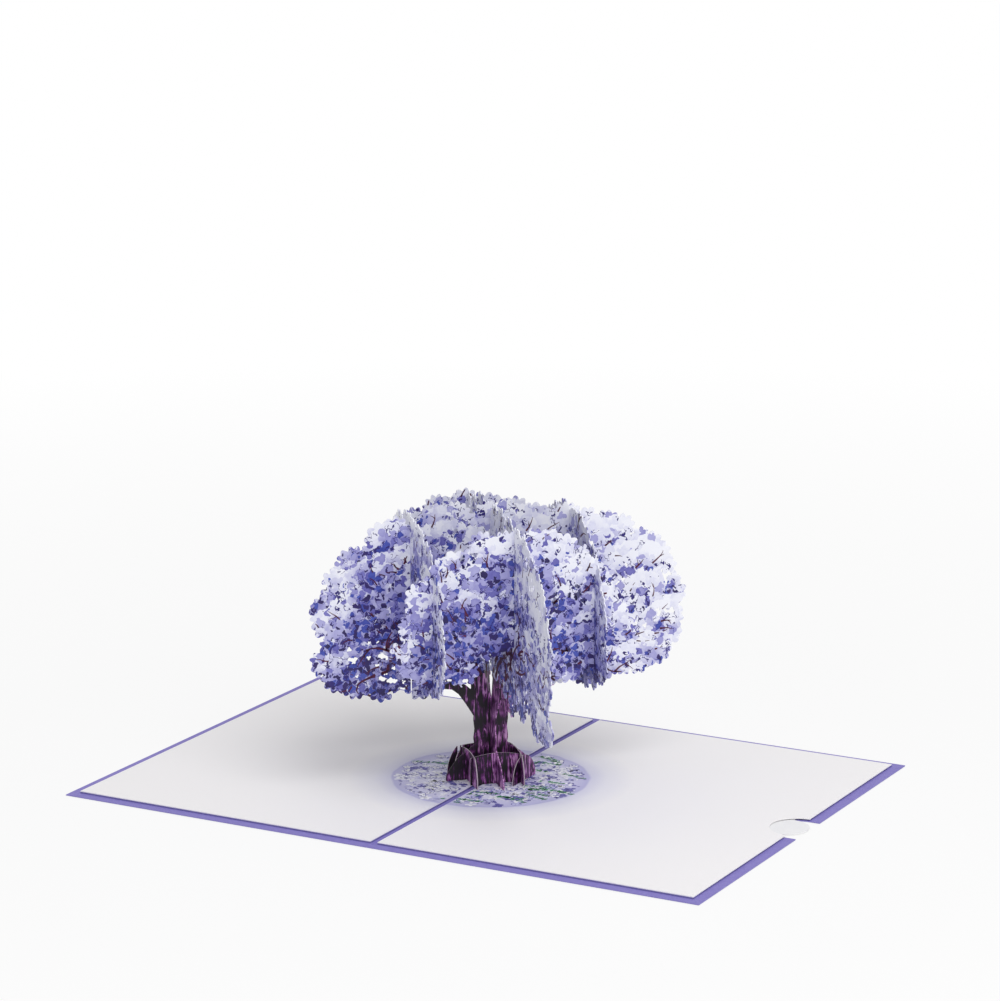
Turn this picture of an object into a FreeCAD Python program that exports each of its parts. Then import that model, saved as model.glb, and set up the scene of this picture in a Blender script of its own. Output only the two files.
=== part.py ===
import FreeCAD, Part
import math
import os
import Sketcher

# Pop-up card, opened flat: a folded cover with a cut trellis window, two lining sheets on tape
# strips, a pull-out note in the right-hand pocket, and a tree of slotted card slices that stands
# across the fold. Origin: middle of the fold, at the underside. X runs across the card to the
# right, Y along the fold to the back, Z up. Lengths are in millimetres, angles in degrees.

doc = FreeCAD.newDocument("pop_up_card")
sizes = doc.addObject("Spreadsheet::Sheet", "Sizes")
X_AXIS = FreeCAD.Vector(1, 0, 0)
Y_AXIS = FreeCAD.Vector(0, 1, 0)
Z_AXIS = FreeCAD.Vector(0, 0, 1)

# Driving dimensions. Each goes into the sheet as plain text, in a cell with its own alias.
driving = {
    # Card stock and cover
    "panel_width": 127,
    "panel_height": 178,
    "cover_thickness": 0.35,
    "sheet_thickness": 0.3,
    "slice_thickness": 0.35,
    "tape_thickness": 0.6,
    "tape_width": 4.5,
    "border": 3.8,
    "fold_strip": 2.9,
    "score_width": 0.8,
    "score_depth": 0.1,
    # Trellis window in the front half of the cover
    "window_side_margin": 10,
    "window_top_margin": 9,
    "window_bottom_margin": 12,
    "trellis_bar": 2.2,
    "trellis_columns": 5,
    "trellis_rows": 6,
    # Thumb notch and pull-out note
    "thumb_radius": 10.4,
    "thumb_inset": 3.5,
    "note_paper": 0.2,
    "note_leaf_gap": 0.05,
    "note_corner": 5,
    "note_tab_radius": 8.4,
    "note_tab_reach": 8.4,
    "note_grip_margin": 1.5,
    "note_edge_inset": 9,
    "note_clearance": 0.05,
    "note_side_gap": 0.7,
    "note_end_gap": 8.9,
    # Slice lattice
    "slice_angle": 45,
    "slot_clearance": 0.1,
    "lattice_clearance": 0.05,
    "crown_pitch": 30,
    "crown_slot_level": 67,
    "centre_slot_level": 54,
    "crown_reach_left": 68,
    "crown_reach_right": 75,
    "crown_top": 104,
    "crown_middle": 58,
    "crown_bottom": 32,
    "crown_squareness": 2.4,
    "crown_arch_rise": 8,
    "crown_arch_half": 26,
    "crown_slot_margin": 12,
    "outer_reach": 46.5,
    "outer_top": 101,
    "outer_bottom_across": 44.5,
    "outer_bottom_along": 38,
    "outer_squareness": 2,
    "outer_arch_rise": 2,
    "lobe_width": 12.2,
    "lobe_bulge": 2.1,
    "lobe_unevenness": 0.22,
    "leaf_hole_length": 4.6,
    "leaf_hole_width": 2.2,
    "leaf_hole_ring": 0.74,
    "leaf_hole_scatter": 0.08,
    "main_leaf_holes": 11,
    "outer_leaf_holes": 7,
    # Trunk with its root flares
    "flare_reach": 17,
    "flare_toe_inset": 0.4,
    "flare_knee_height": 3.6,
    "flare_shoulder_reach": 13.2,
    "flare_shoulder_height": 9.4,
    "flare_hollow_reach": 8.6,
    "flare_hollow_height": 11.5,
    "flare_start_height": 16,
    "trunk_half": 6.6,
    "trunk_waist_half": 6.3,
    "trunk_waist_height": 24,
    "crook_reach": 9.1,
    "crook_height": 32.4,
    "branch_reach": 18,
    "branch_height": 37.5,
    "branch_tip_reach": 16,
    "branch_tip_height": 41.5,
    "trunk_crest_height": 48,
    # Short slices that fill out the roots
    "root_pitch_across": 7.3,
    "root_pitch_along": 8.9,
    "root_slot_level": 5.5,
    "root_top": 11.6,
    "root_edge_height": 10.2,
    "root_shoulder_inset": 3.6,
    "root_shoulder_height": 10.8,
    "root_bulge_inset": 0.9,
    "root_bulge_height": 6,
    "root_short_reach": 9.9,
    "root_long_reach": 14.5,
    "root_mid_reach": 13.5,
    "root_back_reach": 12.5,
    # Anchor lobes, parallel to the fold
    "anchor_offset": 12.3,
    "anchor_front": 5.8,
    "anchor_back": 11.6,
    "anchor_top": 9.7,
    "anchor_shoulder_inset": 3,
    "anchor_shoulder_height": 8,
    "anchor_slope_inset": 3.8,
    "anchor_slope_height": 7.4,
    "anchor_swell": 0.8,
    "anchor_tab_front": 3.2,
    "anchor_tab_length": 5.6,
    "anchor_flap": 5,
}
for row, (alias, value) in enumerate(driving.items(), start=1):
    sizes.set("A%d" % row, alias)
    sizes.set("B%d" % row, str(value))
    sizes.setAlias("B%d" % row, alias)
doc.recompute()


def get(alias):
    """A driving dimension as a number."""
    return float(sizes.get(alias))


def bound(thing, prop, formula):
    """Bind a property to the sheet; in the formula, a name in braces is a cell's alias."""
    thing.setExpression(prop, formula.replace("{", "Sizes.").replace("}", ""))


SURFACE = "({cover_thickness} + {tape_thickness} + {sheet_thickness})"
SHEET_WIDTH = "({panel_width} - {border} - {fold_strip} / 2)"
SHEET_HEIGHT = "({panel_height} - 2 * {border})"
NOTE_THICKNESS = "(2 * {note_paper} + {note_leaf_gap})"


def new_body(label):
    body = doc.addObject("PartDesign::Body", label)
    body.Label = label
    return body


def origin_plane(body, role):
    return [f for f in body.Origin.OriginFeatures if f.Role == role][0]


def new_sketch(body, name, role="XY_Plane", height=None):
    """Empty sketch on one of the body's own origin planes, lifted by a formula if one is given."""
    sketch = body.newObject("Sketcher::SketchObject", name)
    sketch.AttachmentSupport = [(origin_plane(body, role), "")]
    sketch.MapMode = "FlatFace"
    if height:
        bound(sketch, "AttachmentOffset.Base.z", height)
    return sketch


def constrain(sketch, kind, name, formula, *where):
    """Dimensional constraint with a name, bound to the sheet."""
    index = sketch.addConstraint(Sketcher.Constraint(kind, *where, 1.0))
    sketch.renameConstraint(index, name)
    bound(sketch, "Constraints." + name, formula)


def sketch_rectangle(sketch, left, front, width, depth):
    """Rectangle whose near corner and two sides follow formulas."""
    corners = [(1, 1), (2, 1), (2, 2), (1, 2)]
    points = [FreeCAD.Vector(x, y, 0) for x, y in corners]
    first = sketch.GeometryCount
    for i in range(4):
        sketch.addGeometry(Part.LineSegment(points[i], points[(i + 1) % 4]), False)
    for i in range(4):
        following = first + (i + 1) % 4
        sketch.addConstraint(Sketcher.Constraint("Coincident", first + i, 2, following, 1))
    for i, way in enumerate(("Horizontal", "Vertical", "Horizontal", "Vertical")):
        sketch.addConstraint(Sketcher.Constraint(way, first + i))
    tag = "_%d" % first
    constrain(sketch, "DistanceX", "wide" + tag, width, first, 1, first, 2)
    constrain(sketch, "DistanceY", "deep" + tag, depth, first + 1, 1, first + 1, 2)
    constrain(sketch, "DistanceX", "left" + tag, left, -1, 1, first, 1)
    constrain(sketch, "DistanceY", "front" + tag, front, -1, 1, first, 1)


def sketch_circle(sketch, x, y, radius):
    """Circle whose centre and radius follow formulas."""
    circle = Part.Circle(FreeCAD.Vector(1, 1, 0), Z_AXIS, 1)
    index = sketch.addGeometry(circle, False)
    constrain(sketch, "Radius", "radius", radius, index)
    constrain(sketch, "DistanceX", "across", x, -1, 1, index, 3)
    constrain(sketch, "DistanceY", "along", y, -1, 1, index, 3)


def pad(body, name, sketch, length):
    feature = body.newObject("PartDesign::Pad", name)
    feature.Profile = sketch
    bound(feature, "Length", length)
    return feature


def pocket(body, name, sketch, length):
    """Cut upward from the sketch, which lies at or under the face that it opens."""
    feature = body.newObject("PartDesign::Pocket", name)
    feature.Profile = sketch
    feature.Reversed = True
    bound(feature, "Length", length)
    return feature


# Cover: one sheet of violet card, scored along the fold
cover = new_body("cover")
cover_outline = new_sketch(cover, "cover_outline")
sketch_rectangle(cover_outline, "-{panel_width}", "-{panel_height} / 2", "2 * {panel_width}",
                 "{panel_height}")
pad(cover, "cover_sheet", cover_outline, "{cover_thickness}")

score_line = new_sketch(cover, "score_line", height="{cover_thickness} - {score_depth}")
sketch_rectangle(score_line, "-{score_width} / 2", "-{panel_height} / 2 - 1", "{score_width}",
                 "{panel_height} + 2")
pocket(cover, "fold_score", score_line, "{score_depth} + 1")


def thumb_notch(body, prefix, height, depth):
    """Round-ended notch, open to the right-hand edge, halfway along it."""
    end = new_sketch(body, prefix + "_thumb_end", height=height)
    sketch_circle(end, "{panel_width} - {thumb_inset}", "0", "{thumb_radius}")
    pocket(body, prefix + "_thumb_round", end, depth)
    mouth = new_sketch(body, prefix + "_thumb_mouth", height=height)
    sketch_rectangle(mouth, "{panel_width} - {thumb_inset}", "-{thumb_radius}", "{thumb_inset} + 1",
                     "2 * {thumb_radius}")
    pocket(body, prefix + "_thumb_open", mouth, depth)


thumb_notch(cover, "cover", "-1", "{cover_thickness} + 2")

# Trellis: diamond openings in rows and columns, with a second set between the first
CELL_WIDTH = "(({panel_width} - 2 * {window_side_margin}) / {trellis_columns})"
CELL_HEIGHT = "(({panel_height} - {window_top_margin} - {window_bottom_margin}) / {trellis_rows})"


def diamond_openings(name, inset):
    """Cut one diamond, then repeat it; inset is how many half cells the grid starts further in."""
    sketch = new_sketch(cover, name + "_diamond", height="-1")
    points = [FreeCAD.Vector(x, y, 0) for x, y in ((2, 0), (3, 1), (2, 2), (1, 1))]
    for i in range(4):
        sketch.addGeometry(Part.LineSegment(points[i], points[(i + 1) % 4]), False)
    for i in range(4):
        sketch.addConstraint(Sketcher.Constraint("Coincident", i, 2, (i + 1) % 4, 1))
    for i in range(1, 4):
        sketch.addConstraint(Sketcher.Constraint("Equal", 0, i))
    sketch.addConstraint(Sketcher.Constraint("Vertical", 0, 1, 2, 1))
    constrain(sketch, "DistanceX", "width", CELL_WIDTH + " - {trellis_bar} * 1.5", 3, 1, 1, 1)
    constrain(sketch, "DistanceY", "height", CELL_HEIGHT + " - {trellis_bar} * 2", 0, 1, 2, 1)
    left = "-{panel_width} + {window_side_margin} + %s * (1 + %d) / 2" % (CELL_WIDTH, inset)
    low = "-{panel_height} / 2 + {window_bottom_margin} + {trellis_bar} + %s * %d / 2" % (
        CELL_HEIGHT, inset)
    constrain(sketch, "DistanceX", "place_x", left, -1, 1, 0, 1)
    constrain(sketch, "DistanceY", "place_y", low, -1, 1, 0, 1)
    first = pocket(cover, name + "_opening", sketch, "{cover_thickness} + 2")
    doc.recompute()
    grid = cover.newObject("PartDesign::MultiTransform", name + "_grid")
    grid.Originals = [first]
    across = cover.newObject("PartDesign::LinearPattern", name + "_columns")
    across.Direction = (origin_plane(cover, "X_Axis"), [""])
    bound(across, "Length", "%s * ({trellis_columns} - 1 - %d)" % (CELL_WIDTH, inset))
    bound(across, "Occurrences", "{trellis_columns} - %d" % inset)
    along = cover.newObject("PartDesign::LinearPattern", name + "_rows")
    along.Direction = (origin_plane(cover, "Y_Axis"), [""])
    bound(along, "Length", "%s * ({trellis_rows} - 1 - %d)" % (CELL_HEIGHT, inset))
    bound(along, "Occurrences", "{trellis_rows} - %d" % inset)
    grid.Transformations = [across, along]
    cover.Tip = grid


diamond_openings("trellis_first", 0)
diamond_openings("trellis_second", 1)


# Lining sheets: white card, one on each panel, with a slot for an anchor lobe's tab
def lining_sheet(label, side):
    """side is -1 for the left panel and 1 for the right."""
    body = new_body(label)
    base = "{cover_thickness} + {tape_thickness}"
    outline = new_sketch(body, label + "_outline", height=base)
    left = "{fold_strip} / 2" if side > 0 else "-{panel_width} + {border}"
    sketch_rectangle(outline, left, "-%s / 2" % SHEET_HEIGHT, SHEET_WIDTH, SHEET_HEIGHT)
    pad(body, label + "_pad", outline, "{sheet_thickness}")
    tab_slot = new_sketch(body, label + "_tab_slot", height=base + " - 1")
    slot_width = "({slice_thickness} + {slot_clearance})"
    sketch_rectangle(tab_slot, "%d * {anchor_offset} - %s / 2" % (side, slot_width),
                     "{anchor_tab_front} - {slot_clearance} / 2", slot_width,
                     "{anchor_tab_length} + {slot_clearance}")
    pocket(body, label + "_slot", tab_slot, "{sheet_thickness} + 2")
    return body


left_sheet = lining_sheet("left_lining_sheet", -1)
right_sheet = lining_sheet("right_lining_sheet", 1)
thumb_notch(right_sheet, "lining", "{cover_thickness} + {tape_thickness} - 1", "{sheet_thickness} + 2")


# Tape strips: they hold the lining sheets off the cover, and leave the right-hand pocket open
def tape_strip(label, left, front, width, depth):
    strip = doc.addObject("Part::Box", label)
    strip.Label = label
    bound(strip, "Length", width)
    bound(strip, "Width", depth)
    bound(strip, "Height", "{tape_thickness}")
    bound(strip, "Placement.Base.x", left)
    bound(strip, "Placement.Base.y", front)
    bound(strip, "Placement.Base.z", "{cover_thickness}")
    return strip


HALF_SHEET = "(%s / 2)" % SHEET_HEIGHT
INNER_DEPTH = "(%s - 2 * {tape_width})" % SHEET_HEIGHT
for side_name, near_edge in (("left", "-{panel_width} + {border}"), ("right", "{fold_strip} / 2")):
    tape_strip("tape_%s_front" % side_name, near_edge, "-" + HALF_SHEET, SHEET_WIDTH, "{tape_width}")
    tape_strip("tape_%s_back" % side_name, near_edge, HALF_SHEET + " - {tape_width}", SHEET_WIDTH,
               "{tape_width}")
tape_strip("tape_left_fold", "-{fold_strip} / 2 - {tape_width}", "-" + HALF_SHEET + " + {tape_width}",
           "{tape_width}", INNER_DEPTH)
tape_strip("tape_left_edge", "-{panel_width} + {border}", "-" + HALF_SHEET + " + {tape_width}",
           "{tape_width}", INNER_DEPTH)
tape_strip("tape_right_fold", "{fold_strip} / 2", "-" + HALF_SHEET + " + {tape_width}",
           "{tape_width}", INNER_DEPTH)

# Pull-out note: one sheet folded double, fold inward, with a round tab on the lower leaf. It fills
# the pocket between the tape strips, from the anchor lobe's flap to near the open edge.
note = new_body("pull_out_note")
note_base = "{cover_thickness} + {note_clearance}"
note_right = "({panel_width} - {note_edge_inset})"
note_left = "({anchor_offset} - {slice_thickness} / 2 + {anchor_flap} + {note_end_gap})"
note_height = "(%s - 2 * {note_side_gap})" % INNER_DEPTH


def note_leaf(name, height):
    outline = new_sketch(note, name + "_outline", height=height)
    sketch_rectangle(outline, note_left, "-%s / 2" % note_height, "%s - %s" % (note_right, note_left),
                     note_height)
    return pad(note, name, outline, "{note_paper}")


note_leaf("lower_leaf", note_base)
tab_outline = new_sketch(note, "tab_outline", height=note_base)
sketch_circle(tab_outline, "{panel_width} - {note_tab_reach}", "0", "{note_tab_radius}")
pad(note, "round_tab", tab_outline, "{note_paper}")
spine_outline = new_sketch(note, "spine_outline", height=note_base)
sketch_rectangle(spine_outline, note_left, "-%s / 2" % note_height, "{note_paper} * 2", note_height)
pad(note, "spine", spine_outline, NOTE_THICKNESS)
note_leaf("upper_leaf", note_base + " + {note_paper} + {note_leaf_gap}")
grip = new_sketch(note, "grip_outline", height=note_base + " + {note_paper} + {note_leaf_gap} / 2")
sketch_circle(grip, "{panel_width} - {note_tab_reach}", "0", "{note_tab_radius} + {note_grip_margin}")
pocket(note, "grip_notch", grip, NOTE_THICKNESS)
doc.recompute()
square_note = note.Tip
note_corners = []
for i, edge in enumerate(square_note.Shape.Edges):
    middle = edge.CenterOfMass
    upright = abs(edge.tangentAt(edge.FirstParameter).z) > 0.9
    at_end = abs(abs(middle.y) - square_note.Shape.BoundBox.YMax) < 0.01
    at_opening = abs(middle.x - (get("panel_width") - get("note_edge_inset"))) < 0.01
    if upright and at_end and at_opening:
        note_corners.append("Edge%d" % (i + 1))
rounded = note.newObject("PartDesign::Fillet", "rounded_corners")
rounded.Base = (square_note, note_corners)
bound(rounded, "Radius", "{note_corner}")


def arc(start, middle, end):
    """Arc through three points of the upright profile plane."""
    points = [FreeCAD.Vector(x, 0, z) for x, z in (start, middle, end)]
    return Part.Arc(*points).toShape()


def line(start, end):
    points = [FreeCAD.Vector(x, 0, z) for x, z in (start, end)]
    return Part.LineSegment(*points).toShape()


def bulged(start, end, bulge):
    """Arc from start to end that stands out by bulge on the right-hand side of the way."""
    run, rise = end[0] - start[0], end[1] - start[1]
    length = math.hypot(run, rise)
    middle = ((start[0] + end[0]) / 2 + rise / length * bulge,
              (start[1] + end[1]) / 2 - run / length * bulge)
    return arc(start, middle, end)


def crown_curve(angle, left, right, top, middle, bottom, rise, arch_half, squareness):
    """Point of the crown's smooth outline: a dome above, an ellipse at squareness 2, and a squarer
    curve below, with an arch in the underside where the branches come up."""
    across, up = math.cos(angle), math.sin(angle)
    reach = right if across > 0 else left
    if up >= 0:
        s = reach * math.copysign(abs(across) ** (2 / squareness), across)
        return s, middle + (top - middle) * up ** (2 / squareness)
    s = reach * math.copysign(abs(across) ** 0.5, across)
    z = middle + (bottom - middle) * abs(up) ** 0.5
    if abs(s) < arch_half:
        z = z + rise * (1 - (s / arch_half) ** 2)
    return s, z


def leaf_hole(s, z, turn):
    """Small four-sided opening between leaves, long and narrow, turned by an angle."""
    half, side = get("leaf_hole_length") / 2, get("leaf_hole_width") / 2
    along = (math.cos(turn), math.sin(turn))
    across = (-along[1], along[0])
    tips = [(s + along[0] * u + across[0] * v, z + along[1] * u + across[1] * v)
            for u, v in ((half, 0), (half * 0.2, side), (-half, 0), (half * 0.2, -side))]
    return Part.Wire([line(tips[i], tips[(i + 1) % 4]) for i in range(4)])


def crown_face(left, right, top, bottom, rise, squareness, hole_count):
    """Scalloped foliage: the outline is walked in uneven steps, each closed by an outward arc,
    and leaf-shaped holes follow a ring inside it, clear of the crossings."""
    middle = get("crown_middle")
    arch_half = get("crown_arch_half")
    steps = 720

    def point(turn):
        return crown_curve(2 * math.pi * turn, left, right, top, middle, bottom, rise, arch_half,
                           squareness)

    dense = [point(i / steps) for i in range(steps + 1)]
    lengths = [0]
    for before, after in zip(dense, dense[1:]):
        lengths.append(lengths[-1] + math.dist(before, after))
    lobes = round(lengths[-1] / get("lobe_width"))
    golden_turn = 2.4
    corners = []
    for i in range(lobes):
        wanted = lengths[-1] * (i + get("lobe_unevenness") * math.sin(golden_turn * i)) / lobes
        nearest = min(range(steps), key=lambda k: abs(lengths[k] - wanted))
        corners.append(dense[nearest])
    edges = []
    for i in range(lobes):
        start, end = corners[i], corners[(i + 1) % lobes]
        share = math.dist(start, end) / get("lobe_width")
        edges.append(bulged(start, end, get("lobe_bulge") * share))
    outer = Part.Wire(edges)
    holes = []
    for i in range(hole_count):
        s, z = point((i + 0.35) / hole_count)
        ring = get("leaf_hole_ring") + get("leaf_hole_scatter") * math.sin(5 * i)
        s, z = s * ring, middle + (z - middle) * ring
        crossings = (0, get("crown_pitch"), -get("crown_pitch"))
        if min(abs(s - c) for c in crossings) > get("leaf_hole_length") * 0.75:
            holes.append(leaf_hole(s, z, 1.3 * i))
    return Part.makeFace([outer] + holes, "Part::FaceMakerBullseye")


def trunk_face():
    """Trunk with a flared root and a forking top, drawn for one side and mirrored. Its top lies
    inside the crown."""
    base = get("lattice_clearance")
    toe = (get("flare_reach") - get("flare_toe_inset"), base)
    knee = (get("flare_reach"), get("flare_knee_height"))
    shoulder = (get("flare_shoulder_reach"), get("flare_shoulder_height"))
    hollow = (get("flare_hollow_reach"), get("flare_hollow_height"))
    start = (get("trunk_half"), get("flare_start_height"))
    waist = (get("trunk_waist_half"), get("trunk_waist_height"))
    crook = (get("crook_reach"), get("crook_height"))
    branch = (get("branch_reach"), get("branch_height"))
    tip = (get("branch_tip_reach"), get("branch_tip_height"))
    crest = (0, get("trunk_crest_height"))
    right_side = [arc(toe, knee, shoulder), arc(shoulder, hollow, start), line(start, waist),
                  arc(waist, crook, branch), line(branch, tip), line(tip, crest)]
    left_side = [edge.mirror(FreeCAD.Vector(0, 0, 0), X_AXIS) for edge in right_side]
    foot = line((-toe[0], base), toe)
    return Part.Face(Part.Wire(Part.__sortEdges__(right_side + left_side + [foot])))


def root_end(reach, side, rounded):
    """Outer end of a root slice, from the base up: an upright edge, or a rounded shoulder."""
    foot = (side * reach, get("lattice_clearance"))
    if not rounded:
        return line(foot, (side * reach, get("root_edge_height")))
    bulge = (side * (reach - get("root_bulge_inset")), get("root_bulge_height"))
    shoulder = (side * (reach - get("root_shoulder_inset")), get("root_shoulder_height"))
    return arc(foot, bulge, shoulder)


def root_face(left, right, round_left, round_right):
    """Low root slice: a wall with a gently domed top between its two ends."""
    first = root_end(right, 1, round_right)
    last = root_end(left, -1, round_left)
    start, end = first.Vertexes[1].Point, last.Vertexes[1].Point
    crest = ((start.x + end.x) / 2, get("root_top"))
    foot = line((-left, get("lattice_clearance")), (right, get("lattice_clearance")))
    roof = arc((start.x, start.z), crest, (end.x, end.z))
    return Part.Face(Part.Wire(Part.__sortEdges__([foot, first, roof, last])))


def profile(name, face):
    """Flat profile in the plane y = 0, made into a sheet of slice card."""
    outline = doc.addObject("Part::Feature", name + "_profile")
    outline.Shape = face
    card = doc.addObject("Part::Extrusion", name)
    card.Base = outline
    card.DirMode = "Custom"
    card.Dir = Y_AXIS
    card.Solid = True
    card.Symmetric = True
    bound(card, "LengthFwd", "{slice_thickness}")
    return card


def slot(name, place, level, from_below, width="({slice_thickness} + {slot_clearance})"):
    """Cutter for a half-lap slot at a place along the slice, up or down from its level."""
    cutter = doc.addObject("Part::Box", name)
    bound(cutter, "Length", width)
    bound(cutter, "Width", "{slice_thickness} * 3")
    bound(cutter, "Placement.Base.x", "%s - %s / 2" % (place, width))
    bound(cutter, "Placement.Base.y", "-{slice_thickness} * 1.5")
    if from_below:
        reach = from_below
        bound(cutter, "Height", reach)
        bound(cutter, "Placement.Base.z", "%s + {slot_clearance} / 2 - (%s)" % (level, reach))
    else:
        bound(cutter, "Height", "{crown_top}")
        bound(cutter, "Placement.Base.z", "%s - {slot_clearance} / 2" % level)
    return cutter


def stand(label, solid, cutters, family, offset):
    """Cut the slots, turn the slice to its family's angle and stand it on the lining sheets.
    Family 1 runs from front left to back right, family -1 from back left to front right."""
    # The cutters are joined first, so that one cut makes all of a slice's slots
    cut = doc.addObject("Part::MultiFuse", label + "_slots")
    cut.Shapes = cutters
    piece = doc.addObject("Part::Cut", label)
    piece.Base = solid
    piece.Tool = cut
    piece.Label = label
    piece.Placement = FreeCAD.Placement(FreeCAD.Vector(0, 0, 0), FreeCAD.Rotation(Z_AXIS, 30))
    bound(piece, "Placement.Rotation.Angle", "%d * {slice_angle}" % family)
    bound(piece, "Placement.Base.x", "(%s) * sin({slice_angle})" % offset)
    bound(piece, "Placement.Base.y", "%d * (%s) * cos({slice_angle})" % (-family, offset))
    bound(piece, "Placement.Base.z", SURFACE)
    return piece


PITCH = "{crown_pitch}"
CROWN_RUN = "{crown_slot_level} - {crown_bottom} + {crown_slot_margin}"


def main_slice(label, family):
    """Full-height slice: trunk, roots and the widest crown. Family 1 is slotted from below where
    it crosses the crown slices and family -1 from above; both are slotted from below at the roots."""
    foliage = crown_face(get("crown_reach_left"), get("crown_reach_right"), get("crown_top"),
                         get("crown_bottom"), get("crown_arch_rise"), get("crown_squareness"),
                         int(get("main_leaf_holes")))
    crown = profile(label + "_crown", foliage)
    trunk = profile(label + "_trunk", trunk_face())
    whole = doc.addObject("Part::MultiFuse", label + "_whole")
    whole.Shapes = [crown, trunk]
    whole.Refine = True
    root_pitch = "{root_pitch_along}" if family > 0 else "{root_pitch_across}"
    cutters = []
    for name, sign in (("minus", -1), ("plus", 1)):
        cutters.append(slot("%s_crown_slot_%s" % (label, name), "%d * %s" % (sign, PITCH),
                            "{crown_slot_level}", CROWN_RUN if family > 0 else None))
        cutters.append(slot("%s_root_slot_%s" % (label, name), "%d * %s" % (sign, root_pitch),
                            "{root_slot_level}", "{root_slot_level} + 5"))
    cutters.append(slot(label + "_centre_slot", "0", "{centre_slot_level}",
                        "{centre_slot_level} + 5" if family > 0 else None))
    return stand(label, whole, cutters, family, "0")


def crown_slice(label, family, side, bottom):
    """Shorter crown slice, one pitch from the middle, crossed by three slices of the other family."""
    reach = get("outer_reach")
    foliage = crown_face(reach, reach, get("outer_top"), bottom, get("outer_arch_rise"),
                         get("outer_squareness"), int(get("outer_leaf_holes")))
    sheet = profile(label + "_card", foliage)
    cutters = []
    for name, sign in (("minus", -1), ("centre", 0), ("plus", 1)):
        cutters.append(slot("%s_slot_%s" % (label, name), "%d * %s" % (sign, PITCH),
                            "{crown_slot_level}", CROWN_RUN if family > 0 else None))
    return stand(label, sheet, cutters, family, "%d * %s" % (side, PITCH))


main_slice("main_slice_across", 1)
main_slice("main_slice_along", -1)
crown_slice("crown_slice_front", 1, 1, get("outer_bottom_across"))
crown_slice("crown_slice_back", 1, -1, get("outer_bottom_across"))
crown_slice("crown_slice_left", -1, -1, get("outer_bottom_along"))
crown_slice("crown_slice_right", -1, 1, get("outer_bottom_along"))


def root_slice(label, family, side, left, right, rounded, extra=()):
    """Low slice beside the trunk. All are slotted from above at the main slice; at each other,
    family 1 is slotted from above and family -1 from below."""
    offset = "{root_pitch_across}" if family > 0 else "{root_pitch_along}"
    other = "{root_pitch_along}" if family > 0 else "{root_pitch_across}"
    wall = profile(label + "_wall", root_face(left, right, *rounded))
    cutters = [slot(label + "_main_slot", "0", "{root_slot_level}", None)]
    for name, sign in (("minus", -1), ("plus", 1)):
        cutters.append(slot("%s_slot_%s" % (label, name), "%d * %s" % (sign, other), "{root_slot_level}",
                            None if family > 0 else "{root_slot_level} + 5"))
    cutters.extend(extra)
    return stand(label, wall, cutters, family, "%d * %s" % (side, offset))


# Where an anchor lobe cuts across a root slice, the slot is wide enough for a crossing at 45 degrees
LOBE_SLOT = "({slice_thickness} * 2.42 + {slot_clearance} * 1.5)"
right_crossing = "({anchor_offset} * 2 * cos({slice_angle}) - {root_pitch_along})"
left_crossing = "(-{anchor_offset} * 2 * cos({slice_angle}) + {root_pitch_across})"
back_slot = slot("root_slice_back_lobe_slot", left_crossing, "{root_slot_level}", None, LOBE_SLOT)
right_slot = slot("root_slice_right_lobe_slot", right_crossing, "{root_slot_level}", None, LOBE_SLOT)

# Two root slices end just short of an anchor lobe's face
half_card = get("slice_thickness") / 2
lobe_face = (get("anchor_offset") - half_card - get("slot_clearance")) / math.cos(
    math.radians(get("slice_angle")))
front_end = lobe_face - get("root_pitch_across") - half_card
left_end = lobe_face - get("root_pitch_along") - half_card
root_slice("root_slice_front", 1, 1, get("root_short_reach"), front_end, (False, False))
root_slice("root_slice_back", 1, -1, get("root_long_reach"), get("root_back_reach"), (True, True),
           [back_slot])
root_slice("root_slice_left", -1, -1, left_end, get("root_mid_reach"), (False, True))
root_slice("root_slice_right", -1, 1, get("root_short_reach"), get("root_mid_reach"), (False, True),
           [right_slot])


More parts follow.
